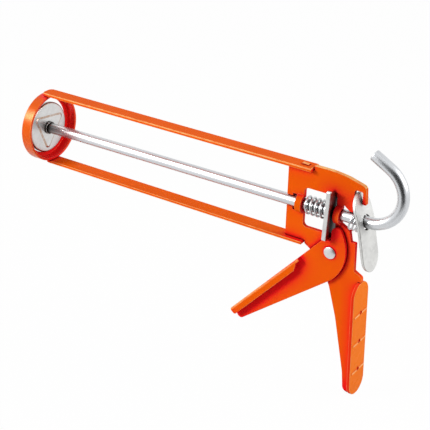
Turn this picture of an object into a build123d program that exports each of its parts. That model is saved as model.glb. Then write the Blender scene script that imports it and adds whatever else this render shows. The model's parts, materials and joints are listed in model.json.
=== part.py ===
from build123d import *
import os
from math import atan, cos, degrees, radians, sin, tan

# A skeleton caulking gun with a smooth rod. Sizes are in millimetres.
# X runs along the push rod from the collar ring back to the hook, Z is up, and the trigger is on
# the -Y side. The origin is the middle of the collar ring's front face, level with the rod's loops.

# Collar ring and rails, which hold the cartridge
cradle_length = 218.2        # front face of the collar ring to the front edge of the body plate
ring_diameter = 53.0
ring_wall = 2.0
ring_width = 8.6
ring_lip = 3.2               # reach of the inward lip that stops the cartridge
ring_lip_thickness = 1.5
rail_width = 11.3
rail_thickness = 2.3
rail_edge_radius = 0.9
rail_corner_radius = 4.0
rail_inset = 2.5             # front end of a rail behind the ring's front face
rail_press = 0.1             # depth to which the ring is pressed flat under a rail
top_rail_lap = 19.0          # length of rail that lies on the body plate
bottom_rail_lap = 15.0

# Body plate, one thick sheet in the plane of the rod
plate_thickness = 3.0
small_corner = 0.6           # rounding of the corners that a cutting tool leaves
middle_corner = 1.2
shoulder_rise = 3.4          # the plate behind the top rail stands this far above its seat
shoulder_length = 14.0
back_drop = 1.2              # fall of the plate's back behind the shoulder
back_drop_length = 11.0
back_bend = 45.0             # radius of the gentle bends in the plate's back
step_gap = 0.4               # between a rail's end and the step in the plate
window_front = 13.2          # behind the plate's front edge
window_length = 24.4
window_top = 12.6
window_bottom = -16.4
window_corner = 3.0

# Pressed loops that carry the rod: near and far at the front, near at the rear
rod_diameter = 8.0
rod_clearance = 0.3
loop_wall = 2.5
loop_bite = 0.8              # depth to which a loop runs into the plate above and below the rod
loop_length = 4.6
rear_loop_length = 4.2

# Tenons of the plate that are staked through the rails and the handle strip
tenon_length = 5.0
tenon_proud = 0.7
tenon_clearance = 0.1
top_tenon_from_front = 12.3
bottom_tenon_from_front = 9.0

# Rear end of the plate: lobe over the rod and the arm that the release plate leans on
mouth_rise = 2.4             # the notch behind the rear loop rises this far above the rod's way
mouth_back = 0.6             # and its place behind that loop
lobe_front = 47.4            # behind the plate's front edge
lobe_rear = 49.8
lobe_clearance = 0.6         # between the lobe and the rod
slot_top = 20.8
arm_front = 55.7
arm_rear = 58.6
arm_bottom = 12.1
arm_corner_drop = 5.0        # the arm's upper corner lies this far below the plate's shoulder
arm_corner = 3.5
arm_taper = 0.9              # the arm is narrower at its corner by this much

# Handle
handle_strip_width = 21.0
handle_strip_thickness = 2.5
handle_strip_top = -45.2
handle_strip_length = 87.8
handle_strip_corner = 10.0
handle_strip_edge = 0.5
handle_strip_lean = 2.0      # degrees, the foot stands further back
handle_back = 60.1           # back of the strip at its top, behind the plate's front edge
handle_tenon_count = 3
handle_tenon_from_top = 23.4
handle_tenon_from_foot = 19.6
handle_tenon_short = 0.4     # the tenons end this far inside the strip's back
crease_width = 1.6
crease_height = 0.5
shelf_gap = 0.3              # between the strip's upper end and the plate's shelf over it
shelf_height = 3.9
shelf_corner = 2.4
neck_rear = 54.2             # back of the plate above the shelf, behind the plate's front edge
neck_rise = 7.0
notch_rear = 53.5            # top of the plate's rear edge, where it is cut level
notch_front = 50.2
notch_drop = 0.8             # below the bottom of the window
neck_front = 48.6            # rear end of the plate under the rod
neck_clearance = 1.2         # and its depth below the release spring
web_overhang = 1.6           # the web reaches this far below the strip's foot
web_foot_back = 16.5         # front end of the web's foot, behind the pivot
web_foot_corner = 4.0
web_heel_back = 14.9         # lowest bend of the web's front edge, behind the pivot
web_heel_rise = 15.7         # and above the web's foot
web_heel_bend = 40.0
web_start_front = 15.7       # highest bend of that edge, in front of the pivot
web_start_drop = 3.7         # and below the bottom rail
web_start_bend = 4.0

# Bends between those two: behind the pivot, below it, and the radius of each
web_bends = [
    (-6.9, 16.0, 12.0),
    (-0.8, 25.4, 20.0),
    (6.2, 49.6, 60.0),
]

# Trigger and its pivot
pin_from_front = 36.7        # pivot's place behind the plate's front edge
pin_height = -28.0
pin_diameter = 6.0
pin_fit = 0.05               # radial running clearance
pin_head_reach = 1.3         # the head stands out round the shaft by this much
pin_head_height = 1.4
pin_head_rim = 0.7           # straight side of the head
pin_tail_reach = 1.5
pin_tail_height = 1.3
washer_reach = 3.0
washer_thickness = 0.5
side_gap = 0.1               # each side of the washer and under the pin head
trigger_sheet = 2.2
trigger_slope = 48.1         # degrees below level, towards the front
trigger_front = 9.9          # front edge, out from the line through the pivot
trigger_length = 101.0
trigger_tip = 103.5
trigger_tip_drop = 0.2       # the tip lies this far behind the line through the pivot
trigger_tip_corner = 3.0
trigger_lip_width = 5.4
trigger_lip_start = 22.0
trigger_lip_taper = 9.0
trigger_lip_corner = 1.8
trigger_depth = 6.8          # over the folded front edge, across the gun
trigger_bend = 1.6
nose_radius = 4.1            # cam nose that pushes the drive plate
nose_back = 4.0              # centre of the nose behind the pivot
nose_height = 15.4           # and above it
nose_end = 40.0              # degrees above level at which the nose runs into the head
head_reach = 11.6            # back of the trigger's head, behind the pivot
head_height = 3.5            # and above it
heel_back = 2.4              # lower end of the head, behind the pivot
heel_drop = 20.4             # and below it
notch_height = 8.3           # bottom of the notch that the drive plate's foot stands over
notch_corner = 1.5

# Drive plate, which jams on the rod and pushes it
drive_width = 22.0
drive_thickness = 3.0
drive_top = 19.1
drive_bottom = -17.5
drive_lean = 2.5             # degrees, the top stands further back
drive_from_front = 35.0      # middle of the plate on the rod's axis
drive_play = 0.5             # radial play of the rod in its hole
drive_shoulder = 15.6        # height at which its sloped top meets the slot
drive_corner = 1.5
drive_ear = 2.0              # level part at each upper corner
straddle_gap = 0.4           # beside and beyond the body plate in the drive plate's slots

# Drive spring
drive_spring_wire = 1.5
drive_spring_play = 1.0      # radial play round the rod
drive_spring_turns = 5.0
spring_gap = 0.15            # between a spring's end and its seat

# Release plate, bent a little at the rod
release_width = 21.0
release_thickness = 2.0
release_top = 19.2
release_bottom = -33.9
release_lean_above = 19.5    # degrees, the top stands further forward
release_lean_below = 12.0
release_back = 59.7          # rear face on the rod's axis, behind the plate's front edge
release_play = 1.0           # radial play of the rod in its hole

# Release spring
release_spring_wire = 1.2
release_spring_play = 1.8    # radial play round the rod
release_spring_hang = 0.3    # left of that play above the rod, where the coils hang on it
release_spring_turns = 2.25
release_spring_start = 49.4  # middle of the first coil, behind the plate's front edge
release_spring_pitch = 2.8
release_spring_tilt = 1.0    # the top of each coil stands this far further back
coil_points = 16             # points that the coil's curve is drawn through in one turn

# Push rod and plunger
front_drop = 1.395           # the front of the rod hangs this much lower, within its play in the loops
hook_gap = 1.5               # start of the hook's bend, behind the release plate
hook_radius = 22.1
hook_turn = 150.0            # degrees
hook_tail = 13.6             # straight end of the hook
rod_end_radius = 0.6
plunger_diameter = 39.4
plunger_sheet = 1.5
plunger_rim = 3.0            # depth of the rim, which is turned forward
plunger_back = 3.3           # rear face of the plunger disc
plunger_corner = 1.2
boss_sides = 3               # the boss pressed out of the disc to the rear has three corners
boss_radius = 16.5
boss_turn = 23.0             # degrees
boss_height = 0.6
boss_slope = 1.5             # width of the boss's sloping sides
boss_corner = 1.5
stud_diameter = 6.0
stud_fit = 0.1
plunger_washer_diameter = 10.0
plunger_washer_thickness = 1.2
swivel_gap = 0.2             # the plunger swivels on the stud
nut_across_flats = 10.0
nut_height = 5.0
lock_washer_diameter = 10.5
lock_washer_thickness = 1.5
stud_proud = 1.0

# Places worked out from the sizes above
plate_front = cradle_length
ring_radius = ring_diameter / 2
rail_seat = ring_radius - rail_press
top_rail_end = plate_front + top_rail_lap
bottom_rail_end = plate_front + bottom_rail_lap
top_tenon_x = plate_front + top_tenon_from_front
bottom_tenon_x = plate_front + bottom_tenon_from_front
rail_foot = -rail_seat - rail_thickness
shoulder = rail_seat + shoulder_rise
shoulder_end = top_rail_end + shoulder_length
window_start = plate_front + window_front
window_end = window_start + window_length
rear_loop_end = window_end + rear_loop_length
rod_radius = rod_diameter / 2
loop_inner = rod_radius + rod_clearance
loop_outer = loop_inner + loop_wall
channel_half = loop_outer - loop_bite
mouth_height = channel_half + mouth_rise
lobe_bottom = rod_radius + lobe_clearance
drive_spring_diameter = rod_diameter + 2 * (drive_spring_play + drive_spring_wire)
release_spring_diameter = rod_diameter + 2 * (release_spring_play + release_spring_wire)
release_spring_sag = release_spring_play - release_spring_hang
neck_drop = release_spring_sag + release_spring_diameter / 2 + neck_clearance
pin_radius = pin_diameter / 2
pin_head_radius = pin_radius + pin_head_reach
pin_tail_radius = pin_radius + pin_tail_reach
half_plate = plate_thickness / 2
pin_x = plate_front + pin_from_front
pin_z = pin_height
strip_back_top = plate_front + handle_back
strip_slope = tan(radians(handle_strip_lean))
strip_shelf = handle_strip_top + shelf_gap
strip_foot = handle_strip_top - handle_strip_length
web_foot = strip_foot - web_overhang
handle_tenon_top = handle_strip_top - handle_tenon_from_top
handle_tenon_step = (handle_tenon_top - strip_foot - handle_tenon_from_foot) / (handle_tenon_count - 1)
handle_tenon_heights = [handle_tenon_top - step * handle_tenon_step for step in range(handle_tenon_count)]
washer_near = -half_plate - side_gap - washer_thickness
trigger_far = washer_near - side_gap
trigger_near = trigger_far - trigger_sheet
arm_cos = cos(radians(trigger_slope))
arm_sin = sin(radians(trigger_slope))
drive_x = plate_front + drive_from_front
release_x = plate_front + release_back
hook_x = release_x + hook_gap
tail_x = hook_x + hook_radius * sin(radians(hook_turn))
tail_z = hook_radius * (1 - cos(radians(hook_turn)))
droop_centre = rear_loop_end - rear_loop_length / 2
droop_axis = Axis((droop_centre, 0, 0), (0, -1, 0))
rod_droop = degrees(atan(front_drop / droop_centre))

pin_plane = Plane(origin=(pin_x, 0, pin_z), x_dir=(1, 0, 0), z_dir=(0, -1, 0))


def strip_front(height):
    """X of the handle strip's front face at a height."""
    thickness = handle_strip_thickness / cos(radians(handle_strip_lean))
    return strip_back_top + (handle_strip_top - height) * strip_slope - thickness


def on_arm(along, across):
    """Point of the trigger's plane: along the arm from the pivot, and out towards its front edge."""
    x = pin_x - along * arm_cos - across * arm_sin
    z = pin_z - along * arm_sin + across * arm_cos
    return (x, z)


def across_arm(edge):
    """How far out from the line through the pivot the middle of an edge lies."""
    middle = edge.center()
    return (pin_x - middle.X) * arm_sin + (middle.Z - pin_z) * arm_cos


def rounded_outline(corners):
    """Closed outline through corners given as two places and the rounding radius."""
    points = [(x, z) for x, z, radius in corners]
    FilletPolyline(*points, radius=[radius for x, z, radius in corners], close=True)


def tenon(x, z, direction):
    """Tenon through a rail, from the rail's seat outwards."""
    depth = rail_thickness + tenon_proud
    with Locations((x, 0, z + direction * depth / 2)):
        Box(tenon_length, plate_thickness, depth)


def slot_for_tenon(x, z):
    """Slot that a tenon passes through in a rail."""
    long_side = tenon_length + 2 * tenon_clearance
    short_side = plate_thickness + 2 * tenon_clearance
    with Locations((x, 0, z)):
        Box(long_side, short_side, 4 * rail_thickness, mode=Mode.SUBTRACT)


def save(piece, name, droop=0.0):
    """Tip a finished piece by a droop about the rear loop, label it and write its file."""
    shape = piece.part.rotate(droop_axis, droop)
    shape.label = name
    export_step(shape, "parts/" + name + ".step")


os.makedirs("parts", exist_ok=True)

# Collar ring: a short tube with a lip at the front, pressed flat where the rails are welded on
with BuildPart() as front_ring:
    with BuildSketch(Plane.YZ):
        Circle(ring_radius)
        Circle(ring_radius - ring_wall - ring_lip, mode=Mode.SUBTRACT)
    extrude(amount=ring_lip_thickness)
    with BuildSketch(Plane.YZ.offset(ring_lip_thickness)):
        Circle(ring_radius)
        Circle(ring_radius - ring_wall, mode=Mode.SUBTRACT)
    extrude(amount=ring_width - ring_lip_thickness)
    for side in (1, -1):
        with Locations((ring_width / 2, 0, side * (rail_seat + rail_thickness))):
            Box(2 * ring_width, rail_width, 2 * rail_thickness, mode=Mode.SUBTRACT)
save(front_ring, "front_ring")


def make_rail(name, length, seat, tenon_x, direction):
    """One flat rail with rounded edges, lying on the ring and on an edge of the body plate."""
    half = rail_width / 2
    with BuildPart() as rail:
        with BuildSketch(Plane.XY.offset(seat)):
            with BuildLine():
                corners = [(rail_inset, -half), (length, -half), (length, half), (rail_inset, half)]
                rounding = [rail_corner_radius, 0, 0, rail_corner_radius]
                FilletPolyline(*corners, radius=rounding, close=True)
            make_face()
        extrude(amount=direction * rail_thickness)
        levels = rail.edges().group_by(Axis.Z)
        fillet(levels[-1] if direction > 0 else levels[0], rail_edge_radius)
        slot_for_tenon(tenon_x, seat)
    save(rail, name)


make_rail("top_rail", top_rail_end, rail_seat, top_tenon_x, 1)
make_rail("bottom_rail", bottom_rail_end, -rail_seat, bottom_tenon_x, -1)

# Body plate: two halves of the sheet joined by the loops, with the tenons for rails and strip
with BuildPart() as body_plate:
    with BuildSketch(Plane.XZ):
        with BuildLine():
            rounded_outline([
                (plate_front, channel_half, middle_corner),
                (plate_front, rail_seat, small_corner),
                (top_rail_end + step_gap, rail_seat, 0),
                (top_rail_end + step_gap, shoulder, small_corner),
                (shoulder_end, shoulder, back_bend),
                (shoulder_end + back_drop_length, shoulder - back_drop, back_bend),
                (plate_front + arm_rear - arm_taper, shoulder - arm_corner_drop, arm_corner),
                (plate_front + arm_rear, arm_bottom, small_corner),
                (plate_front + arm_front, arm_bottom, small_corner),
                (plate_front + arm_front, slot_top, middle_corner),
                (plate_front + lobe_rear, slot_top, middle_corner),
                (plate_front + lobe_rear, lobe_bottom, small_corner),
                (plate_front + lobe_front, lobe_bottom, middle_corner),
                (rear_loop_end + mouth_back, mouth_height, small_corner),
                (rear_loop_end, channel_half, 0),
                (window_end, channel_half, 0),
                (window_end, window_top, small_corner),
                (window_start, window_top, window_corner),
                (window_start, channel_half, 0),
            ])
        make_face()
        with BuildLine():
            rounded_outline([
                (plate_front, -channel_half, middle_corner),
                (plate_front, -rail_seat, small_corner),
                (bottom_rail_end + step_gap, -rail_seat, 0),
                (bottom_rail_end + step_gap, rail_foot, small_corner),
                (pin_x - web_start_front, rail_foot - web_start_drop, web_start_bend),
                *[(pin_x + back, pin_z - drop, radius) for back, drop, radius in web_bends],
                (pin_x + web_heel_back, web_foot + web_heel_rise, web_heel_bend),
                (pin_x + web_foot_back, web_foot, web_foot_corner),
                (strip_front(web_foot), web_foot, 0),
                (strip_front(strip_shelf), strip_shelf, 0),
                (strip_back_top, strip_shelf, small_corner),
                (strip_back_top, strip_shelf + shelf_height, shelf_corner),
                (plate_front + neck_rear, strip_shelf + neck_rise, middle_corner),
                (plate_front + notch_rear, window_bottom - notch_drop, small_corner),
                (plate_front + notch_front, window_bottom - notch_drop, small_corner),
                (plate_front + neck_front, -neck_drop, small_corner),
                (rear_loop_end, -channel_half, 0),
                (window_end, -channel_half, 0),
                (window_end, window_bottom, small_corner),
                (window_start, window_bottom, window_corner),
                (window_start, -channel_half, 0),
            ])
        make_face()
    extrude(amount=half_plate, both=True)
    loops = [
        (plate_front, loop_length, 1),
        (window_start - loop_length, loop_length, -1),
        (window_end, rear_loop_length, -1),
    ]
    for start, length, side in loops:
        with BuildSketch(Plane.YZ.offset(start)):
            Circle(loop_outer)
            Circle(loop_inner, mode=Mode.SUBTRACT)
            with Locations((-side * (half_plate + loop_outer), 0)):
                Rectangle(2 * loop_outer, 4 * loop_outer, mode=Mode.SUBTRACT)
        extrude(amount=length)
    tenon(top_tenon_x, rail_seat, 1)
    tenon(bottom_tenon_x, -rail_seat, -1)
    for height in handle_tenon_heights:
        reach = handle_strip_thickness - handle_tenon_short + tenon_proud
        with Locations((strip_front(height) - tenon_proud + reach / 2, 0, height)):
            Box(reach, plate_thickness, plate_thickness)
    with Locations(pin_plane):
        Cylinder(pin_radius + pin_fit, 2 * plate_thickness, mode=Mode.SUBTRACT)
save(body_plate, "body_plate")

# Handle strip: the broad back of the grip, staked on the web's rear edge
lean = radians(handle_strip_lean)
strip_plane = Plane(
    origin=(strip_back_top, 0, handle_strip_top),
    x_dir=(0, 1, 0),
    z_dir=(cos(lean), 0, sin(lean)),
)
with BuildPart() as handle_strip:
    with BuildSketch(strip_plane):
        with Locations((0, -handle_strip_length / 2)):
            RectangleRounded(handle_strip_width, handle_strip_length, handle_strip_corner)
    extrude(amount=-handle_strip_thickness)
    fillet(handle_strip.faces().sort_by(Axis.X)[-1].edges(), handle_strip_edge)
    for height in handle_tenon_heights:
        with BuildSketch(strip_plane):
            with Locations((0, (height - handle_strip_top) / cos(lean))):
                SlotOverall(handle_strip_width - 2 * crease_width, crease_width)
        extrude(amount=crease_height)
    for height in handle_tenon_heights:
        hole = plate_thickness + 2 * tenon_clearance
        with Locations((strip_front(height), 0, height)):
            Box(4 * handle_strip_thickness, hole, hole, mode=Mode.SUBTRACT)
save(handle_strip, "handle_strip")

# Trigger: a pressed sheet beside the plate, with its front edge folded over towards -Y
heel = (pin_x + heel_back, pin_z - heel_drop)
notch_x = pin_x + nose_back - nose_radius
notch_z = pin_z + notch_height
notch_along = (trigger_front * arm_cos - notch_height) / arm_sin
nose_start = (notch_x, pin_z + nose_height)
with BuildPart() as trigger:
    with BuildSketch(Plane.XZ.offset(-trigger_far)):
        with BuildLine():
            FilletPolyline(
                heel,
                on_arm(trigger_tip, -trigger_tip_drop),
                on_arm(trigger_length, trigger_front),
                on_arm(notch_along, trigger_front),
                (notch_x, notch_z),
                nose_start,
                radius=[trigger_tip_corner, 0, 0, notch_corner],
            )
            nose = CenterArc(
                (pin_x + nose_back, pin_z + nose_height), nose_radius, 180, nose_end - 180
            )
            ThreePointArc(nose @ 1, (pin_x + head_reach, pin_z + head_height), heel)
        make_face()
    extrude(amount=trigger_sheet)
    with BuildSketch(Plane.XZ.offset(-trigger_far)):
        with BuildLine():
            Polyline(
                on_arm(trigger_lip_start, trigger_front),
                on_arm(trigger_length, trigger_front),
                on_arm(trigger_length, trigger_front - trigger_sheet),
                on_arm(trigger_lip_start, trigger_front - trigger_sheet),
                close=True,
            )
        make_face()
    extrude(amount=trigger_depth)
    with BuildSketch(Plane.XZ.offset(trigger_depth - trigger_far - trigger_sheet)):
        with BuildLine():
            rounded_outline([
                (*on_arm(trigger_lip_start, trigger_front), 0),
                (*on_arm(trigger_length, trigger_front), 0),
                (*on_arm(trigger_length, trigger_front - trigger_lip_width), trigger_lip_corner),
                (
                    *on_arm(trigger_lip_start + trigger_lip_taper, trigger_front - trigger_lip_width),
                    trigger_lip_corner,
                ),
            ])
        make_face()
    extrude(amount=trigger_sheet)
    along_arm = trigger.edges().filter_by(Axis((0, 0, 0), (arm_cos, 0, arm_sin)))
    front_edges = along_arm.filter_by(lambda e: across_arm(e) > trigger_front - side_gap).sort_by(Axis.Y)
    fillet([front_edges[0], front_edges[-1]], trigger_bend)
    with Locations(pin_plane):
        Cylinder(pin_radius + pin_fit, 4 * trigger_depth, mode=Mode.SUBTRACT)
save(trigger, "trigger")

# Pivot pin: a rivet with a low domed head on the trigger and a closed head behind the plate
with BuildPart() as trigger_pin:
    with BuildSketch(Plane(origin=(pin_x, 0, pin_z), x_dir=(1, 0, 0), z_dir=(0, 0, -1))):
        with BuildLine():
            head_seat = side_gap - trigger_near
            tail_end = -half_plate - pin_tail_height
            Polyline(
                (0, head_seat + pin_head_height),
                (0, tail_end),
                (pin_tail_radius, tail_end),
                (pin_tail_radius, -half_plate),
                (pin_radius, -half_plate),
                (pin_radius, head_seat),
                (pin_head_radius, head_seat),
                (pin_head_radius, head_seat + pin_head_rim),
            )
            TangentArc(
                (0, head_seat + pin_head_height),
                (pin_head_radius, head_seat + pin_head_rim),
                tangent=(1, 0),
            )
        make_face()
    revolve(axis=Axis((pin_x, 0, pin_z), (0, 1, 0)))
save(trigger_pin, "trigger_pin")

# Spacing washer between the plate and the trigger
with BuildPart() as trigger_washer:
    with BuildSketch(Plane.XZ.offset(half_plate + side_gap)):
        with Locations((pin_x, pin_z)):
            Circle(pin_radius + washer_reach)
            Circle(pin_radius + pin_fit, mode=Mode.SUBTRACT)
    extrude(amount=washer_thickness)
save(trigger_washer, "trigger_washer")

# Drive plate: leaning on the rod, slotted above and below where it straddles the body plate
half_drive = drive_width / 2
half_slot = half_plate + straddle_gap
drive_slope = tan(radians(drive_lean))
drive_half_level = drive_thickness / cos(radians(drive_lean)) / 2
with BuildPart() as drive_plate:
    with BuildSketch(Plane.XZ):
        with BuildLine():
            Polyline(
                (drive_x + drive_bottom * drive_slope - drive_half_level, drive_bottom),
                (drive_x + drive_bottom * drive_slope + drive_half_level, drive_bottom),
                (drive_x + drive_top * drive_slope + drive_half_level, drive_top),
                (drive_x + drive_top * drive_slope - drive_half_level, drive_top),
                close=True,
            )
        make_face()
    extrude(amount=half_drive, both=True)
    with BuildSketch(Plane.YZ.offset(drive_x - drive_width)):
        with BuildLine():
            rounded_outline([
                (-half_drive, drive_bottom, drive_corner),
                (-half_slot, drive_bottom, 0),
                (-half_slot, window_bottom + straddle_gap, 0),
                (half_slot, window_bottom + straddle_gap, 0),
                (half_slot, drive_bottom, 0),
                (half_drive, drive_bottom, drive_corner),
                (half_drive, drive_top, drive_corner),
                (half_drive - drive_ear, drive_top, 0),
                (half_slot, drive_shoulder, 0),
                (half_slot, window_top - straddle_gap, 0),
                (-half_slot, window_top - straddle_gap, 0),
                (-half_slot, drive_shoulder, 0),
                (drive_ear - half_drive, drive_top, 0),
                (-half_drive, drive_top, drive_corner),
            ])
        make_face()
        Circle(rod_radius + drive_play, mode=Mode.SUBTRACT)
    extrude(amount=2 * drive_width, mode=Mode.INTERSECT)
save(drive_plate, "drive_plate")

# Release plate: a rounded strip with a slight bend, leaning on the arm's lower tip
above = tan(radians(release_lean_above))
below = tan(radians(release_lean_below))
with BuildPart() as release_plate:
    with BuildSketch(Plane.XZ):
        with BuildLine():
            Polyline(
                (release_x - release_width * above, release_width),
                (release_x, 0),
                (release_x - 2 * release_bottom * below, 2 * release_bottom),
            )
            offset(amount=release_thickness, side=Side.RIGHT)
        make_face()
    extrude(amount=release_width, both=True)
    with BuildSketch(Plane.YZ.offset(plate_front)):
        with Locations((0, (release_top + release_bottom) / 2)):
            SlotOverall(release_top - release_bottom, release_width, rotation=90)
        Circle(rod_radius + release_play, mode=Mode.SUBTRACT)
    extrude(amount=plate_front, mode=Mode.INTERSECT)
save(release_plate, "release_plate")


# Drive spring: open coils round the rod, between the front loop and the drive plate
seat_gap = drive_spring_wire / 2 + spring_gap
drive_spring_start = window_start + seat_gap
drive_spring_end = drive_x - drive_half_level - drive_spring_diameter / 2 * drive_slope - seat_gap
drive_spring_length = drive_spring_end - drive_spring_start
drive_spring_radius = (drive_spring_diameter - drive_spring_wire) / 2
with BuildPart() as drive_spring:
    with BuildLine() as drive_coil:
        Helix(
            drive_spring_length / drive_spring_turns,
            drive_spring_length,
            drive_spring_radius,
            center=(drive_spring_start, 0, 0),
            direction=(1, 0, 0),
        )
    with BuildSketch(Plane(origin=drive_coil.line @ 0, z_dir=drive_coil.line % 0)):
        Circle(drive_spring_wire / 2)
    sweep(path=drive_coil.line, is_frenet=True)
save(drive_spring, "drive_spring")

# Release spring: loose coils that hang on the rod, drawn from the lowest point of the first coil
release_spring_radius = (release_spring_diameter - release_spring_wire) / 2
coil_curve = []
for step in range(round(release_spring_turns * coil_points) + 1):
    turned = step / coil_points
    angle = radians(360 * turned - 90)
    coil_curve.append((
        plate_front + release_spring_start + turned * release_spring_pitch + release_spring_tilt * sin(angle),
        -release_spring_radius * cos(angle),
        release_spring_radius * sin(angle) - release_spring_sag,
    ))
with BuildPart() as release_spring:
    with BuildLine() as release_coil:
        Spline(*coil_curve)
    with BuildSketch(Plane(origin=release_coil.line @ 0, z_dir=release_coil.line % 0)):
        Circle(release_spring_wire / 2)
    sweep(path=release_coil.line, is_frenet=True)
save(release_spring, "release_spring")

# Plunger disc: pressed sheet with its rim turned forward and a boss pressed out to the rear
plunger_radius = plunger_diameter / 2
plunger_front = plunger_back - plunger_rim
plunger_floor = plunger_back - plunger_sheet
boss_foot_radius = boss_radius + boss_slope / cos(radians(180 / boss_sides))
with BuildPart() as plunger_disc:
    with BuildSketch(Plane.YZ.offset(plunger_front)):
        Circle(plunger_radius)
    extrude(amount=plunger_rim)
    fillet(plunger_disc.faces().sort_by(Axis.X)[-1].edges(), plunger_corner)
    with BuildSketch(Plane.YZ.offset(plunger_front)):
        Circle(plunger_radius - plunger_sheet)
    extrude(amount=plunger_floor - plunger_front, mode=Mode.SUBTRACT)
    for start, mode in ((plunger_back, Mode.ADD), (plunger_floor, Mode.SUBTRACT)):
        with BuildSketch(Plane.YZ.offset(start)) as boss_foot:
            RegularPolygon(boss_foot_radius, boss_sides, rotation=boss_turn)
            fillet(boss_foot.vertices(), boss_corner + boss_slope)
        with BuildSketch(Plane.YZ.offset(start + boss_height)) as boss_top:
            RegularPolygon(boss_radius, boss_sides, rotation=boss_turn)
            fillet(boss_top.vertices(), boss_corner)
        loft(mode=mode)
    with BuildSketch(Plane.YZ.offset(plunger_front)):
        Circle(stud_diameter / 2 + stud_fit)
    extrude(amount=2 * plunger_rim, mode=Mode.SUBTRACT)
save(plunger_disc, "plunger_disc", rod_droop)


def make_ring(name, start, diameter, thickness):
    """Plain washer on the rod's stud."""
    with BuildPart() as ring:
        with BuildSketch(Plane.YZ.offset(start)):
            Circle(diameter / 2)
            Circle(stud_diameter / 2, mode=Mode.SUBTRACT)
        extrude(amount=thickness)
    save(ring, name, rod_droop)


plunger_washer_start = plunger_back + boss_height + swivel_gap
rod_start = plunger_washer_start + plunger_washer_thickness
lock_washer_start = plunger_floor + boss_height - swivel_gap - lock_washer_thickness
nut_start = lock_washer_start - nut_height
make_ring("plunger_washer", plunger_washer_start, plunger_washer_diameter, plunger_washer_thickness)
make_ring("lock_washer", lock_washer_start, lock_washer_diameter, lock_washer_thickness)

# Nut on the front of the stud
with BuildPart() as plunger_nut:
    with BuildSketch(Plane.YZ.offset(nut_start)):
        RegularPolygon(nut_across_flats / 2, 6, major_radius=False)
        Circle(stud_diameter / 2, mode=Mode.SUBTRACT)
    extrude(amount=nut_height)
save(plunger_nut, "plunger_nut", rod_droop)

# Push rod: straight through the gun, bent over at the back into the pull hook
with BuildPart() as push_rod:
    with BuildLine(Plane.XZ) as rod_path:
        Line((rod_start, 0), (hook_x, 0))
        CenterArc((hook_x, hook_radius), hook_radius, -90, hook_turn)
        PolarLine((tail_x, tail_z), hook_tail, hook_turn)
    with BuildSketch(Plane.YZ.offset(rod_start)):
        Circle(rod_radius)
    sweep(path=rod_path.line)
    fillet(push_rod.faces().sort_by(Axis.Z)[-1].edges(), rod_end_radius)
    with BuildSketch(Plane.YZ.offset(nut_start - stud_proud)):
        Circle(stud_diameter / 2)
    extrude(amount=rod_start - nut_start + stud_proud)
save(push_rod, "push_rod", rod_droop)
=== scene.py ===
# %% [markdown]
# # A skeleton caulking gun
# An open cradle of two flat rails holds the cartridge, a smooth rod pushes it, and a sheet metal
# trigger walks the rod forward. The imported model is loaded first. It fixes every size and every
# joint, so each piece below is built where the model already has it, in metres.

# %% Load the frame
import json
import math
import bmesh
import bpy
from mathutils import Matrix, Vector


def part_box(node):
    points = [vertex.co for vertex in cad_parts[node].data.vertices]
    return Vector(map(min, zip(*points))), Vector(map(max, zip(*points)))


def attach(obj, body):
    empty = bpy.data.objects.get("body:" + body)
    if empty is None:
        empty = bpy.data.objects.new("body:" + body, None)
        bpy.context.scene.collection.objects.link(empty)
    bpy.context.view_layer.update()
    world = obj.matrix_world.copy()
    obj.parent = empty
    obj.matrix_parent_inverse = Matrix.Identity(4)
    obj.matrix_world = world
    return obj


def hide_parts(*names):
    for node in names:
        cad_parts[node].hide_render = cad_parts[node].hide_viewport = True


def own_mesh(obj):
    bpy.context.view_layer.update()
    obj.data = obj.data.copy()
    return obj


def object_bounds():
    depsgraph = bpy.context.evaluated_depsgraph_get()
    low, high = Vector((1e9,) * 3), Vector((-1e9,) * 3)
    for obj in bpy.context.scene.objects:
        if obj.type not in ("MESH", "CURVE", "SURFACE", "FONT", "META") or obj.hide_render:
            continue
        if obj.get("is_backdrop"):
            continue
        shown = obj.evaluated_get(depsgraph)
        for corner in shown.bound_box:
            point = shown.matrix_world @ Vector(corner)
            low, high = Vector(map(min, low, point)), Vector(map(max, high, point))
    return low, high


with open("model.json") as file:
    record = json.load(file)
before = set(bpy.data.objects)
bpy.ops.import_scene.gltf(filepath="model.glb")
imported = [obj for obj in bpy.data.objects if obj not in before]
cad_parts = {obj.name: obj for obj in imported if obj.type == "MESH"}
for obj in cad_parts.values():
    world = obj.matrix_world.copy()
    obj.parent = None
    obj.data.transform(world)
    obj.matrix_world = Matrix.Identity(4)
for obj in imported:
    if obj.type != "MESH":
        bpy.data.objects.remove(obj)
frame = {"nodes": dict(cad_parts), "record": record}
cad_low, cad_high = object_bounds()
MM = 0.001

# %% [markdown]
# ## Camera
# The photograph was taken from above and from the trigger's side, with a long lens. A camera can be
# turned by hand until the picture fits, but a place, a point to look at and a roll are easier to
# read, and they give the same picture each time.

# %% Camera
camera_place = Vector((0.5473, -0.5843, 0.3238))
camera_looks_at = Vector((0.1675, -0.0123, -0.0229))
camera_roll = math.radians(1.35)
camera_data = bpy.data.cameras.new("camera")
camera_data.sensor_width = 36.0
camera_data.lens = 92.1
camera = bpy.data.objects.new("camera", camera_data)
bpy.context.scene.collection.objects.link(camera)
level_turn = (camera_looks_at - camera_place).to_track_quat("-Z", "Y").to_matrix().to_4x4()
camera.matrix_world = Matrix.Translation(camera_place) @ level_turn @ Matrix.Rotation(camera_roll, 4, "Z")
bpy.context.scene.camera = camera
bpy.context.scene.view_settings.view_transform = "Standard"
print("camera axes", [[round(n, 3) for n in row] for row in camera.matrix_world.to_3x3()])

# %% [markdown]
# ## Materials by nodes
# Every finish below is a Principled shader with patterns in front of it. These small helpers add a
# node, join two sockets and make a band of colours, so that a material reads as a short list.


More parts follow.
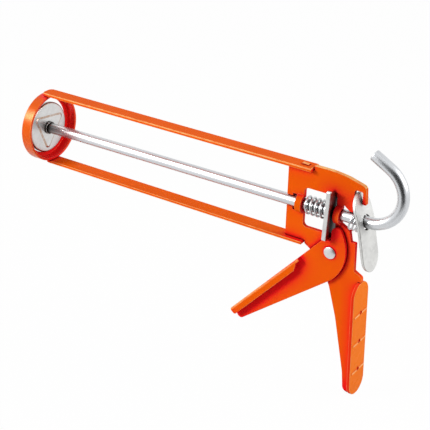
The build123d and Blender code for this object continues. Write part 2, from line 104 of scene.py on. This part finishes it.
# %% Node helpers
def new_material(name):
    """A material with only a Principled shader and an output."""
    material = bpy.data.materials.new(name)
    material.use_nodes = True
    return material, material.node_tree.nodes["Principled BSDF"]


def add_node(material, kind, **settings):
    """A new node, with its own settings or its inputs' values."""
    node = material.node_tree.nodes.new("ShaderNode" + kind)
    for key, value in settings.items():
        if hasattr(node, key):
            setattr(node, key, value)
        else:
            node.inputs[key.replace("_", " ")].default_value = value
    return node


def join(material, source, target):
    """Link an output socket to an input socket."""
    material.node_tree.links.new(source, target)


def noise(material, scale, detail=3.0, stretch=(1.0, 1.0, 1.0), vector=None):
    """Noise on the piece's own coordinates, drawn out along an axis by a small stretch there."""
    if vector is None:
        vector = add_node(material, "TexCoord").outputs["Object"]
    mapping = add_node(material, "Mapping", Scale=stretch)
    join(material, vector, mapping.inputs["Vector"])
    pattern = add_node(material, "TexNoise", Scale=scale, Detail=detail)
    join(material, mapping.outputs["Vector"], pattern.inputs["Vector"])
    return pattern.outputs["Fac"]


def band(material, factor, stops):
    """A ramp through (place, colour) stops."""
    ramp = add_node(material, "ValToRGB")
    points = ramp.color_ramp.elements
    while len(points) < len(stops):
        points.new(1.0)
    for point, (place, colour) in zip(points, stops):
        point.position = place
        point.color = (*colour, 1.0)
    join(material, factor, ramp.inputs["Fac"])
    return ramp.outputs["Color"]


def span(material, factor, low, high, start=0.3, end=0.7):
    """A value between low and high that follows a pattern."""
    ranged = add_node(material, "MapRange", From_Min=start, From_Max=end, To_Min=low, To_Max=high)
    join(material, factor, ranged.inputs["Value"])
    return ranged.outputs["Result"]


def mixed(material, factor, first, second):
    """One colour over another, by a factor."""
    mix = add_node(material, "Mix", data_type="RGBA")
    join(material, factor, mix.inputs["Factor"])
    for name, colour in (("A", first), ("B", second)):
        socket = [s for s in mix.inputs if s.name == name and s.type == "RGBA"][0]
        if isinstance(colour, tuple):
            socket.default_value = (*colour, 1.0)
        else:
            join(material, colour, socket)
    return [s for s in mix.outputs if s.type == "RGBA"][0]


def times(material, first, second):
    """Product of two patterns."""
    product = add_node(material, "Math", operation="MULTIPLY")
    join(material, first, product.inputs[0])
    join(material, second, product.inputs[1])
    return product.outputs["Value"]


def bumped(material, shader, height, strength, depth):
    """Small relief from a pattern, with its real depth in metres."""
    relief = add_node(material, "Bump", Strength=strength, Distance=depth)
    join(material, height, relief.inputs["Height"])
    join(material, relief.outputs["Normal"], shader.inputs["Normal"])


def closed_in(material, reach, open_at, shut_at):
    """0 on an open surface and 1 deep in a corner, from how much of the view within reach is blocked."""
    view = add_node(material, "AmbientOcclusion", samples=8, Distance=reach)
    return span(material, view.outputs["AO"], 1.0, 0.0, shut_at, open_at)


# %% [markdown]
# ## Orange paint
# The stampings are dipped or sprayed with a gloss orange paint. Their sharp edges are paler, because
# the paint is thinner there, and the pale colour is also a painted highlight. Corners and channels are
# a deep red, which is painted shade, and the narrow gaps are near black, which is painted shadow. A
# face attribute that the bevels below leave on every edge marks the pale edges, and occlusion nodes
# find the corners and the gaps. All of it follows the shape. The back of the strip at the rear of the
# handle is paler, a painted sheen, and its sides are redder, painted shade. The ring has the most
# gloss. On the other pieces the gloss is kept low, because reflections of a white room turn the
# orange pink.

# %% Orange paint
EDGE_MARK = "edge"
# Pale edge colour: thin paint, and also a painted highlight.
THIN_PAINT_AND_HIGHLIGHT = (0.94, 0.56, 0.22)
# Deep red for corners and channels: painted shade.
DEEP_SHADE_RED = (0.86, 0.010, 0.012)
# Near black for narrow gaps: painted shadow.
GAP_SHADOW = (0.060, 0.006, 0.004)
GLOSS_TINT = (1.0, 0.5, 0.15, 1.0)
LOW_GLOSS = 0.015
PAINT_ROUGHNESS = (0.22, 0.34)
COLOUR_CLOUDS = 28.0
GLOSS_CLOUDS = 90.0
WORN_AND_LIT_SPOTS = 220.0
ORANGE_PEEL = 900.0
PEEL_DEPTH = 0.12 * MM


def make_orange_paint(name, colours, corner_shade_in, gap_shadow_in, shaded_side_colour=None, gloss=LOW_GLOSS):
    """Paint between two colours, deep red in corners as painted shade and near black in gaps as painted
    shadow.
    """
    material, shader = new_material(name)
    clouds = noise(material, COLOUR_CLOUDS)
    colour = band(material, clouds, [(0.3, colours[0]), (0.7, colours[1])])
    # Faces that don't look back along X are redder: painted shade.
    if shaded_side_colour:
        normal = add_node(material, "SeparateXYZ")
        join(material, add_node(material, "TexCoord").outputs["Normal"], normal.inputs["Vector"])
        faces_back = span(material, normal.outputs["X"], 0.0, 1.0)
        colour = mixed(material, faces_back, shaded_side_colour, colour)
    # Corners and channels turn deep red: painted shade.
    corners = closed_in(material, *corner_shade_in)
    colour = mixed(material, corners, colour, DEEP_SHADE_RED)
    # Marked edges in the open turn pale: thin paint and painted highlight.
    mark = add_node(material, "Attribute", attribute_name=EDGE_MARK).outputs["Fac"]
    open_edges = times(material, mark, span(material, corners, 1.0, 0.0, 0.0, 1.0))
    thin_and_lit = times(material, open_edges, span(material, noise(material, WORN_AND_LIT_SPOTS), 0.35, 0.9))
    colour = mixed(material, thin_and_lit, colour, THIN_PAINT_AND_HIGHLIGHT)
    # Narrow gaps turn near black: painted shadow.
    gaps = closed_in(material, *gap_shadow_in)
    join(material, mixed(material, gaps, colour, GAP_SHADOW), shader.inputs["Base Color"])
    roughness = span(material, noise(material, GLOSS_CLOUDS), *PAINT_ROUGHNESS)
    join(material, roughness, shader.inputs["Roughness"])
    bumped(material, shader, noise(material, ORANGE_PEEL, detail=2.0), 0.10, PEEL_DEPTH)
    shader.inputs["Specular IOR Level"].default_value = gloss
    shader.inputs["Specular Tint"].default_value = GLOSS_TINT
    return material


# %% [markdown]
# Four mixes of this paint are used. Each has a darker and a lighter colour, and for the painted shade
# in corners and the painted shadow in gaps a reach with the share of open view at which the change
# starts and ends. A channel needs a long reach, because the shade of its corner spreads over all its
# flat. The ring's orange is a darker, shaded copy, and the strip's is a paler one, a painted sheen.

# %% Paint for each kind of stamping
FULL_ORANGE = ((0.79, 0.100, 0.002), (0.86, 0.118, 0.004))
# The strip's back is paler, a painted sheen, and its sides are redder, painted shade.
SHEEN_ORANGE = ((0.80, 0.150, 0.002), (0.86, 0.180, 0.004))
SHADED_SIDE_RED = (0.78, 0.030, 0.006)
# The ring's orange is darker than the rest: a shaded copy of the same paint.
SHADED_RING_ORANGE = ((0.66, 0.078, 0.001), (0.73, 0.094, 0.002))
FLAT_CORNERS = (14 * MM, 0.97, 0.68)
CHANNEL_CORNERS = (45 * MM, 1.0, 0.90)
STRIP_CORNERS = (5 * MM, 0.75, 0.40)
WIDE_GAPS = (2.5 * MM, 0.80, 0.45)
NARROW_GAPS = (2.5 * MM, 0.55, 0.25)
RING_GLOSS = 0.40
orange_paint = make_orange_paint("orange_paint", FULL_ORANGE, FLAT_CORNERS, WIDE_GAPS)
channel_paint = make_orange_paint("channel_paint", FULL_ORANGE, CHANNEL_CORNERS, NARROW_GAPS)
strip_sheen_paint = make_orange_paint("strip_sheen_paint", SHEEN_ORANGE, STRIP_CORNERS, NARROW_GAPS, SHADED_SIDE_RED)
ring_paint = make_orange_paint("ring_paint", SHADED_RING_ORANGE, CHANNEL_CORNERS, NARROW_GAPS, gloss=RING_GLOSS)
print("materials", orange_paint.name, channel_paint.name, strip_sheen_paint.name, ring_paint.name)

# %% [markdown]
# ## Zinc plate
# The drive plate, the release plate, the disc and the pin are zinc plated. The plating is a soft grey
# with faint crystals and a little handling haze, so the colour comes from cells and the roughness
# from clouds. It is darkened where it is shut in between other pieces, as painted shade, most of all on
# the drive plate and on the washer behind the disc. Edges are rubbed bright, but on the release plate
# they are darker, and on the disc they are brown, a painted reflection of the orange ring with painted
# shade.

# %% Zinc plate
# Near black where pieces shut each other in: painted shade.
PAINTED_SHADE = (0.030, 0.022, 0.018)
CRYSTALS = 420.0
HAZE_CLOUDS = 60.0
EDGE_SPOTS = 300.0
PLATING_GRAIN = 2600.0
GRAIN_DEPTH = 0.05 * MM


def make_zinc(name, greys, roughness, edge_colour, shade_in):
    """Plating between two greys, with its own colour on the edges and painted shade in the gaps."""
    material, shader = new_material(name)
    place = add_node(material, "TexCoord").outputs["Object"]
    crystals = add_node(material, "TexVoronoi", Scale=CRYSTALS)
    join(material, place, crystals.inputs["Vector"])
    haze = noise(material, HAZE_CLOUDS, detail=5.0)
    spangle = mixed(material, span(material, haze, 0.2, 0.8), crystals.outputs["Color"], haze)
    colour = band(material, spangle, [(0.15, greys[0]), (0.85, greys[1])])
    mark = add_node(material, "Attribute", attribute_name=EDGE_MARK).outputs["Fac"]
    # Marked edges take the edge colour. On the disc this brown is painted reflection and shade.
    marked_faces = times(material, mark, span(material, noise(material, EDGE_SPOTS), 0.2, 0.8))
    colour = mixed(material, marked_faces, colour, edge_colour)
    # Shut-in places turn near black: painted shade.
    shaded = closed_in(material, *shade_in)
    join(material, mixed(material, shaded, colour, PAINTED_SHADE), shader.inputs["Base Color"])
    shader.inputs["Metallic"].default_value = 1.0
    join(material, span(material, haze, *roughness), shader.inputs["Roughness"])
    bumped(material, shader, noise(material, PLATING_GRAIN, detail=2.0), 0.12, GRAIN_DEPTH)
    return material


BRIGHT_GREYS = ((0.56, 0.56, 0.56), (0.72, 0.72, 0.71))
MATT_GREYS = ((0.54, 0.54, 0.53), (0.66, 0.66, 0.645))
DISC_GREYS = ((0.60, 0.60, 0.60), (0.72, 0.72, 0.71))
BRIGHT_EDGE = (0.80, 0.80, 0.79)
# The release plate's edges are darker. The disc's brown edges are a painted reflection of the orange ring
# with painted shade.
DARK_EDGE = (0.28, 0.27, 0.25)
BROWN_EDGE = (0.40, 0.20, 0.09)
# Reaches and open shares for that painted shade.
LITTLE_SHADE = (12 * MM, 0.60, 0.25)
MUCH_SHADE = (12 * MM, 0.95, 0.62)
SATIN = (0.26, 0.40)
THUMB_WORN = (0.45, 0.60)
DISC_SATIN = (0.24, 0.38)
zinc_plate = make_zinc("zinc_plate", BRIGHT_GREYS, SATIN, BRIGHT_EDGE, LITTLE_SHADE)
matt_zinc = make_zinc("matt_zinc", MATT_GREYS, THUMB_WORN, DARK_EDGE, LITTLE_SHADE)
drive_zinc = make_zinc("drive_zinc", BRIGHT_GREYS, SATIN, BRIGHT_EDGE, MUCH_SHADE)
disc_zinc = make_zinc("disc_zinc", DISC_GREYS, DISC_SATIN, BROWN_EDGE, LITTLE_SHADE)
print("materials", zinc_plate.name, matt_zinc.name, drive_zinc.name, disc_zinc.name)

# %% [markdown]
# ## Drawn wire and rod
# Rod and springs are drawn through a die, which leaves fine lines along their length. Noise that is
# stretched along the wire gives those lines. Where the wire bends, straight coordinates would leave
# it, so the pieces carry an attribute with their own unrolled coordinates. The wire is darkened in
# narrow gaps, and the rod along its front end, both as painted shade.

# %% Drawn steel
UNROLLED = "unrolled"
DIE_LINES = 1500.0
LONG_LINES = (0.012, 1.0, 1.0)
WIRE_CLOUDS = 70.0
LONG_CLOUDS = (0.3, 1.0, 1.0)
LINE_DEPTH = 0.04 * MM
# Reach and open shares for the painted shade in the wire's gaps.
WIRE_SHADE = (6 * MM, 0.55, 0.15)


def make_drawn_steel(name, greys, roughness, shaded_front=None):
    """Steel with lines along the wire, darkened as painted shade in gaps and over a stretch at its front.
    """
    material, shader = new_material(name)
    unrolled = add_node(material, "Attribute", attribute_name=UNROLLED).outputs["Vector"]
    lines = noise(material, DIE_LINES, detail=2.0, stretch=LONG_LINES, vector=unrolled)
    clouds = noise(material, WIRE_CLOUDS, stretch=LONG_CLOUDS, vector=unrolled)
    colour = band(material, lines, [(0.3, greys[0]), (0.7, greys[1])])
    # Gaps between turns and pieces darken: painted shade.
    shaded = closed_in(material, *WIRE_SHADE)
    colour = mixed(material, shaded, colour, PAINTED_SHADE)
    # Over the front stretch the steel darkens: painted shade.
    if shaded_front:
        along = add_node(material, "SeparateXYZ")
        join(material, unrolled, along.inputs["Vector"])
        front_shade = span(material, along.outputs["X"], 1.0, 0.0, *shaded_front)
        colour = mixed(material, times(material, front_shade, front_shade), colour, PAINTED_SHADE)
    join(material, colour, shader.inputs["Base Color"])
    shader.inputs["Metallic"].default_value = 1.0
    join(material, span(material, clouds, *roughness), shader.inputs["Roughness"])
    bumped(material, shader, lines, 0.10, LINE_DEPTH)
    return material


ROD_GREYS = ((0.55, 0.565, 0.585), (0.68, 0.695, 0.715))
WIRE_GREYS = ((0.52, 0.53, 0.54), (0.68, 0.69, 0.70))
ROD_ROUGHNESS = (0.26, 0.36)
WIRE_ROUGHNESS = (0.28, 0.40)
# The rod's front stretch is darkened: painted shade.
SHADED_FRONT = (6 * MM, 20 * MM)
bright_rod = make_drawn_steel("bright_rod", ROD_GREYS, ROD_ROUGHNESS, shaded_front=SHADED_FRONT)
spring_wire = make_drawn_steel("spring_wire", WIRE_GREYS, WIRE_ROUGHNESS)
print("materials", bright_rod.name, spring_wire.name)

# %% [markdown]
# ## Finishing a piece
# A piece is shaped in a bmesh and then becomes an object that rides on a body and stands for its
# node. Smooth shading with sharp edges kept by angle lets the bevels catch the light while the flat
# faces stay flat.

# %% Finish a piece
SHARP_ANGLE = math.radians(38)


def finish_piece(bm, name, node, material):
    """Turn a bmesh into the piece that stands for a node."""
    mesh = bpy.data.meshes.new(name)
    bm.to_mesh(mesh)
    bm.free()
    for polygon in mesh.polygons:
        polygon.use_smooth = True
    mesh.set_sharp_from_angle(angle=SHARP_ANGLE)
    mesh.materials.append(material)
    piece = bpy.data.objects.new(name, mesh)
    bpy.context.scene.collection.objects.link(piece)
    body = next(b for b, nodes in frame["record"]["behaviour"]["bodies"].items() if node in nodes)
    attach(piece, body)
    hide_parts(node)
    print(name, "rides on", body, "with", len(mesh.polygons), "faces")
    return piece


# %% [markdown]
# ## Pressed sheet
# Plates, strips and the trigger are cut and pressed from sheet, and their edges are broken by
# tumbling and by the coat on them. The model's own mesh has the right outline, so a copy of it is
# merged, its flat faces are joined again, every sharp edge gets a small round, and the thinnest
# slivers that the rounds leave are dissolved. Drawing the outlines a second time could only make them
# differ.

# %% Sheet with broken edges
CUT_EDGE = math.radians(45)
FLAT = math.radians(0.5)
SAME_POINT = 0.001 * MM
SLIVER = 0.02 * MM
ACROSS = {"X": Vector((1, 0, 0)), "Y": Vector((0, 1, 0)), "Z": Vector((0, 0, 1))}


def merged_copy(node):
    """The node's mesh with its loose triangles joined into flat faces."""
    bm = bmesh.new()
    bm.from_mesh(frame["nodes"][node].data)
    bmesh.ops.remove_doubles(bm, verts=bm.verts, dist=SAME_POINT)
    bmesh.ops.dissolve_limit(bm, angle_limit=FLAT, verts=bm.verts, edges=bm.edges)
    return bm


def round_edges(bm, radius, segments=3):
    """Round every sharp edge, and mark the new faces."""
    mark = bm.faces.layers.float.new(EDGE_MARK)
    sharp = [e for e in bm.edges if e.is_manifold and e.calc_face_angle() > CUT_EDGE]
    made = bmesh.ops.bevel(
        bm, geom=sharp, offset=radius, offset_type="OFFSET", segments=segments, profile=0.5,
        affect="EDGES", clamp_overlap=False, material=-1,
    )
    for face in made["faces"]:
        face[mark] = 1.0
    bmesh.ops.dissolve_degenerate(bm, dist=SLIVER, edges=bm.edges)


def mark_rounds(bm, across):
    """Mark each face by how far it leans between the sheet's flat and its edge."""
    mark = bm.faces.layers.float[EDGE_MARK]
    for face in bm.faces:
        lean = min(1.0, abs(face.normal.dot(ACROSS[across])))
        face[mark] = 2 * lean * math.sqrt(1 - lean * lean)


def sheet_piece(node, radius, across, material, edge_share=1.0, marked_faces=None):
    """A pressed sheet piece that stands for a node, with a stronger or weaker mark on its edges, where
    its finish shows its edge colour.
    """
    bm = merged_copy(node)
    round_edges(bm, radius * MM)
    if across:
        mark_rounds(bm, across)
    mark = bm.faces.layers.float[EDGE_MARK]
    for face in bm.faces:
        face[mark] *= edge_share
        if marked_faces and marked_faces(face):
            face[mark] = 1.0
    piece = finish_piece(bm, node + "_sheet", node, material)
    flats = piece.modifiers.new("flat faces stay flat", "WEIGHTED_NORMAL")
    flats.keep_sharp = True
    return piece


# %% [markdown]
# The six painted stampings come first. Each has its own thickness direction, and the round on its
# edges is a little larger where the sheet was rolled than where it was only cut. The ring and the
# trigger are channels, so their painted shade reaches further out from their corners. The plate's
# upper edge and the head of its tenon, and the small flats on the strip's ridges, are made fully
# pale, which is thin paint and a painted highlight.

# %% Painted stampings
PLATE_SHOULDER = 15 * MM
FACES_UP = 0.5
RIDGE_AREA = 20 * MM * MM
STRAIGHT_BACK = 0.999


# These faces are made fully pale: thin paint and a painted highlight.
def upper_edge(face):
    """Whether a face lies on the plate's upper edge or on the head of its upper tenon."""
    return face.normal.z > FACES_UP and face.calc_center_median().z > PLATE_SHOULDER


def ridge_top(face):
    """Whether a face of the strip is one of the small flats on its back."""
    return face.normal.x > STRAIGHT_BACK and face.calc_area() < RIDGE_AREA


for node, radius, across, paint, edge_share, marked_faces in (
    ("front_ring", 0.5, "X", ring_paint, 0.4, None),
    ("top_rail", 0.35, "Z", orange_paint, 1.0, None),
    ("bottom_rail", 0.35, "Z", orange_paint, 1.0, None),
    ("body_plate", 0.2, None, orange_paint, 0.7, upper_edge),
    ("handle_strip", 0.2, "X", strip_sheen_paint, 0.5, ridge_top),
    ("trigger", 0.3, "Y", channel_paint, 0.8, None),
):
    sheet_piece(node, radius, across, paint, edge_share, marked_faces)

# %% [markdown]
# The plated pieces are made in the same way. The release plate is the dullest of them, because
# thumbs wear its brightness off.

# %% Plated pieces
for node, radius, across in (
    ("trigger_pin", 0.15, "Y"),
    ("trigger_washer", 0.12, "Y"),
    ("lock_washer", 0.15, "X"),
    ("plunger_nut", 0.3, "X"),
):
    sheet_piece(node, radius, across, zinc_plate)
sheet_piece("plunger_washer", 0.2, "X", drive_zinc)
sheet_piece("drive_plate", 0.35, "X", drive_zinc)
# The disc's marked slopes show its brown edge colour strongly: painted reflection and shade.
sheet_piece("plunger_disc", 0.28, "X", disc_zinc, edge_share=1.6)
sheet_piece("release_plate", 0.35, None, matt_zinc)

# %% [markdown]
# ## Wire shapes
# A rod or a spring is one round section moved along a line. A circle that is extruded and spun makes
# the section follow a straight run and an arc exactly, and a spin that also shifts with each step
# makes a coil.


# %% Wire helpers
def section(bm, centre, radius, turn, segments):
    """A round section: an open ring of edges."""
    place = Matrix.Translation(centre) @ turn
    made = bmesh.ops.create_circle(bm, segments=segments, radius=radius, matrix=place)
    return [e for e in bm.edges if e.verts[0] in made["verts"]]


def edges_of(made):
    """The edges in what an operator returns."""
    return [item for item in made if isinstance(item, bmesh.types.BMEdge)]


def draw_out(bm, ring, way):
    """Draw a section out straight, and return the edges at its far end."""
    made = bmesh.ops.extrude_edge_only(bm, edges=ring)["geom"]
    moved = [item for item in made if isinstance(item, bmesh.types.BMVert)]
    bmesh.ops.translate(bm, verts=moved, vec=way)
    return [e for e in edges_of(made) if all(v in moved for v in e.verts)]


def close_end(bm, ring):
    """Fill an open end of a wire with a flat face."""
    bmesh.ops.contextual_create(bm, geom=ring)


def unroll(bm, straighten):
    """Give each point its coordinates on the straight wire."""
    layer = bm.verts.layers.float_vector.new(UNROLLED)
    for vert in bm.verts:
        vert[layer] = straighten(vert.co)


# %% [markdown]
# ## Push rod
# The rod is 8 mm bright steel, straight through the gun and bent over at the back into a hook with a
# straight end, so that a finger can draw it out. At the front it steps down to a threaded stud for the
# disc. It is made level and then tipped a little, because the real rod hangs down at the front by its
# play in the loops. The joint that the rod turns in gives the tip.

# %% Push rod
ROD_RADIUS = 3.98 * MM
ROD_START = 5.3 * MM
HOOK_START = 279.4 * MM
HOOK_RADIUS = 22.1 * MM
HOOK_TURN = math.radians(150)
HOOK_TAIL = 13.6 * MM
HOOK_STEPS = 60
ROD_SIDES = 48
END_ROUND = 0.6 * MM
FACE_ALONG_X = Matrix.Rotation(math.radians(90), 4, "Y")
hook_centre = Vector((HOOK_START, 0, HOOK_RADIUS))
tail_way = Vector((math.cos(HOOK_TURN), 0, math.sin(HOOK_TURN)))


def straighten_rod(point):
    """Distance along the rod, and the two distances from its axis."""
    if point.x <= hook_centre.x and point.z < hook_centre.z:
        return point.copy()
    spoke = Vector((point.x - hook_centre.x, 0, point.z - hook_centre.z))
    turned = min(HOOK_TURN, math.atan2(spoke.x, -spoke.z) % (2 * math.pi))
    past_bend = max(0.0, spoke.dot(tail_way))
    out = math.sqrt(spoke.length_squared - past_bend * past_bend) if turned == HOOK_TURN else spoke.length
    return Vector((hook_centre.x + HOOK_RADIUS * turned + past_bend, point.y, HOOK_RADIUS - out))


bm = bmesh.new()
ring = section(bm, (ROD_START, 0, 0), ROD_RADIUS, FACE_ALONG_X, ROD_SIDES)
close_end(bm, ring)
ring = draw_out(bm, ring, Vector((HOOK_START - ROD_START, 0, 0)))
made = bmesh.ops.spin(
    bm, geom=ring, cent=hook_centre, axis=(0, -1, 0), angle=HOOK_TURN, steps=HOOK_STEPS, use_merge=False,
)
close_end(bm, draw_out(bm, edges_of(made["geom_last"]), tail_way * HOOK_TAIL))
bmesh.ops.recalc_face_normals(bm, faces=bm.faces)
round_edges(bm, END_ROUND)
print("rod with", len(bm.faces), "faces")

# %% [markdown]
# The stud is a core with a ridge wound round it. A triangle that is spun and shifted along by one
# pitch for every turn is the way a die cuts a thread.

# %% Threaded stud
STUD_RADIUS = 3.0 * MM
STUD_END = -5.3 * MM
STUD_SIDES = 32
THREAD_PITCH = 1.0 * MM
THREAD_DEPTH = 0.5 * MM
THREAD_FOOT = 0.9 * THREAD_PITCH
FOOT_DEPTH = 1.1 * THREAD_DEPTH
THREAD_TURNS = 6
core = section(bm, (STUD_END, 0, 0), STUD_RADIUS - THREAD_DEPTH, FACE_ALONG_X, STUD_SIDES)
close_end(bm, core)
close_end(bm, draw_out(bm, core, Vector((ROD_START - STUD_END, 0, 0))))
crest = Vector((STUD_END + THREAD_PITCH / 2, 0, STUD_RADIUS))
front_foot = crest - Vector((THREAD_FOOT / 2, 0, FOOT_DEPTH))
back_foot = crest + Vector((THREAD_FOOT / 2, 0, -FOOT_DEPTH))
corners = [bm.verts.new(point) for point in (front_foot, crest, back_foot)]
ridge = [bm.edges.new((corners[i], corners[i - 1])) for i in range(3)]
close_end(bm, ridge)
made = bmesh.ops.spin(
    bm, geom=ridge, cent=(0, 0, 0), axis=(1, 0, 0), dvec=(THREAD_PITCH / STUD_SIDES, 0, 0),
    angle=2 * math.pi * THREAD_TURNS, steps=THREAD_TURNS * STUD_SIDES, use_merge=False,
)
close_end(bm, edges_of(made["geom_last"]))
bmesh.ops.recalc_face_normals(bm, faces=bm.faces)
unroll(bm, straighten_rod)
turning = next(j for j in frame["record"]["behaviour"]["joints"] if j["name"] == "rod_turn")
tip = Vector((1, 0, 0)).rotation_difference(Vector(turning["axis"])).to_matrix()
bmesh.ops.rotate(bm, verts=bm.verts, cent=turning["pos_m"], matrix=tip)
finish_piece(bm, "push_rod_bright", "push_rod", bright_rod)

# %% [markdown]
# ## Springs
# The drive spring pushes the drive plate back after each stroke. The release spring hangs loosely on
# the rod, so its coils lean. Both are coils of round wire: a section that is spun and shifted along
# the rod, and for the loose one leaned over afterwards.

# %% Coils
WIRE_SIDES = 14
FACE_ALONG_Y = Matrix.Rotation(math.radians(90), 4, "X")


def coil(node, wire, turns, hand, lean=0.0, steps_a_turn=40):
    """A coil in the node's box, from its lowest point, with its wire's own coordinates."""
    low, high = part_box(node)
    middle = (low.z + high.z) / 2
    radius = (high.y - low.y - wire) / 2
    length = high.x - low.x - wire - lean
    start = Vector((low.x + wire / 2 + lean, 0, middle - radius))
    bm = bmesh.new()
    ring = section(bm, start, wire / 2, FACE_ALONG_Y, WIRE_SIDES)
    close_end(bm, ring)
    steps = round(turns * steps_a_turn)
    made = bmesh.ops.spin(
        bm, geom=ring, cent=(start.x, 0, middle), axis=(hand, 0, 0), dvec=(length / steps, 0, 0),
        angle=2 * math.pi * turns, steps=steps, use_merge=False,
    )
    close_end(bm, edges_of(made["geom_last"]))
    bmesh.ops.recalc_face_normals(bm, faces=bm.faces)

    def straighten(point):
        """Distance round the coil, distance from its axis and place along it."""
        turned = math.atan2(point.y, point.z - middle)
        spread = Vector((0, point.y, point.z - middle)).length
        return Vector((radius * turned, spread, point.x))

    unroll(bm, straighten)
    for vert in bm.verts:
        vert.co.x += lean * (vert.co.z - middle) / radius
    return bm


# %% Springs
RIGHT_HAND = 1
LEFT_HAND = -1
DRIVE_WIRE = 1.5 * MM
DRIVE_TURNS = 5.0
RELEASE_WIRE = 1.2 * MM
RELEASE_TURNS = 2.25
RELEASE_LEAN = 1.0 * MM
drive_shape = coil("drive_spring", DRIVE_WIRE, DRIVE_TURNS, RIGHT_HAND)
drive_coil = finish_piece(drive_shape, "drive_spring_coil", "drive_spring", spring_wire)
release_shape = coil("release_spring", RELEASE_WIRE, RELEASE_TURNS, LEFT_HAND, RELEASE_LEAN)
release_coil = finish_piece(
    release_shape, "release_spring_coil", "release_spring", spring_wire,
)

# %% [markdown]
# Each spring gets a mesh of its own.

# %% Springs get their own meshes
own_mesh(drive_coil)
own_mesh(release_coil)

# %% [markdown]
# ## White room
# The gun stands in a white room. A world as bright as it looks would wash the paint out, so the world
# is white to the camera and in reflections and softer as a light. The Light Path node tells the two
# apart.


# %% White room
def seen_directly(nodes, links):
    """A factor of 1 for camera, glossy and transmission rays."""
    path = nodes.new("ShaderNodeLightPath")
    total = path.outputs["Is Camera Ray"]
    for name in ("Is Glossy Ray", "Is Transmission Ray"):
        adding = nodes.new("ShaderNodeMath")
        adding.operation = "ADD"
        adding.use_clamp = True
        links.new(total, adding.inputs[0])
        links.new(path.outputs[name], adding.inputs[1])
        total = adding.outputs["Value"]
    return total


ROOM_LIGHT = 0.38
world = bpy.data.worlds.new("white_room")
bpy.context.scene.world = world
world.use_nodes = True
nodes, links = world.node_tree.nodes, world.node_tree.links
strength = nodes.new("ShaderNodeMapRange")
strength.inputs["To Min"].default_value = ROOM_LIGHT
strength.inputs["To Max"].default_value = 1.0
links.new(seen_directly(nodes, links), strength.inputs["Value"])
nodes["Background"].inputs["Color"].default_value = (1.0, 1.0, 1.0, 1.0)
links.new(strength.outputs["Result"], nodes["Background"].inputs["Strength"])
print("room light", ROOM_LIGHT)

# %% [markdown]
# ## Floor
# A large pale sheet lies under the gun. Lit only by the lamps it would be grey in the picture, so to
# the camera and in reflections nearly all of it is its own white, and the rest is plain diffuse,
# which keeps a little of the shadow.

# %% Floor
FLOOR_SIZE = 6.0
FLOOR_CENTRE = (0.15, 0, cad_low.z)
FLOOR_GREY = 0.7
FLOOR_WHITE = 0.98


def matt_finish(name, grey):
    """A diffuse grey without any gloss."""
    finish, shader = new_material(name)
    shader.inputs["Base Color"].default_value = (grey, grey, grey, 1.0)
    shader.inputs["Roughness"].default_value = 1.0
    shader.inputs["Specular IOR Level"].default_value = 0.0
    return finish, shader


def flat_sheet(name, size, place):
    """A sheet, twice size long and wide, that belongs to the studio and not to the gun."""
    bm = bmesh.new()
    bmesh.ops.create_grid(bm, x_segments=1, y_segments=1, size=size, matrix=place)
    mesh = bpy.data.meshes.new(name)
    bm.to_mesh(mesh)
    bm.free()
    sheet = bpy.data.objects.new(name, mesh)
    bpy.context.scene.collection.objects.link(sheet)
    sheet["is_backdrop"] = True
    return sheet


floor = flat_sheet("floor", FLOOR_SIZE, Matrix.Translation(FLOOR_CENTRE))
floor_finish, floor_shader = matt_finish("white_floor", FLOOR_GREY)
nodes, links = floor_finish.node_tree.nodes, floor_finish.node_tree.links
own_white = nodes.new("ShaderNodeEmission")
share = nodes.new("ShaderNodeMapRange")
share.inputs["To Max"].default_value = FLOOR_WHITE
links.new(seen_directly(nodes, links), share.inputs["Value"])
both = nodes.new("ShaderNodeMixShader")
links.new(share.outputs["Result"], both.inputs["Fac"])
links.new(floor_shader.outputs["BSDF"], both.inputs[1])
links.new(own_white.outputs["Emission"], both.inputs[2])
links.new(both.outputs["Shader"], nodes["Material Output"].inputs["Surface"])
floor.data.materials.append(floor_finish)
print("floor at", round(cad_low.z, 4))

# %% [markdown]
# ## Lamps
# One soft lamp stands to the left of the camera, and a weaker one on the right, beyond the hook. A
# small bright card on the left only shines in glossy surfaces, for the highlights on the ring and the
# rod. A dark card near the hook only shows in reflections, like the dark side of a real studio.

# %% Lamps
MIDDLE = Vector((0.17, 0, -0.03))


def facing(place, point):
    """A place whose -Z looks at a point."""
    turn = (Vector(point) - Vector(place)).to_track_quat("-Z", "Y").to_matrix().to_4x4()
    return Matrix.Translation(place) @ turn


def softbox(name, place, size, power):
    """A square soft lamp that faces the gun."""
    lamp = bpy.data.lights.new(name, "AREA")
    lamp.size = size
    lamp.energy = power
    holder = bpy.data.objects.new(name, lamp)
    bpy.context.scene.collection.objects.link(holder)
    holder.matrix_world = facing(place, MIDDLE)
    return holder


softbox("left_lamp", place=(-0.70, -1.176, 0.794), size=0.56, power=20.8)
softbox("right_lamp", place=(1.06, 0.26, 0.44), size=0.6, power=6.5)
gloss_card = softbox("gloss_card", place=(-0.585, -0.515, 0.484), size=0.3, power=8.5)
gloss_card.visible_diffuse = False
print("lamps", [light.name for light in bpy.data.lights])

# %% Dark card
HOOK_BACK = (0.29, 0.0, 0.03)
CARD_PLACE = (0.358, -0.187, 0.05)
CARD_SHAPE = Matrix.Diagonal((0.15, 0.165, 1.0, 1.0))
CARD_GREY = 0.01
dark_card = flat_sheet("dark_card", 1.0, facing(CARD_PLACE, HOOK_BACK) @ CARD_SHAPE)
dark_card.data.materials.append(matt_finish("dark_card", CARD_GREY)[0])
dark_card.visible_camera = False
dark_card.visible_diffuse = False
dark_card.visible_shadow = False
print("dark card at", CARD_PLACE)

seen_low, seen_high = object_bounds()
boxes = {"cad": [list(cad_low), list(cad_high)], "visual": [list(seen_low), list(seen_high)]}
print("cad box", boxes["cad"], "visual box", boxes["visual"])
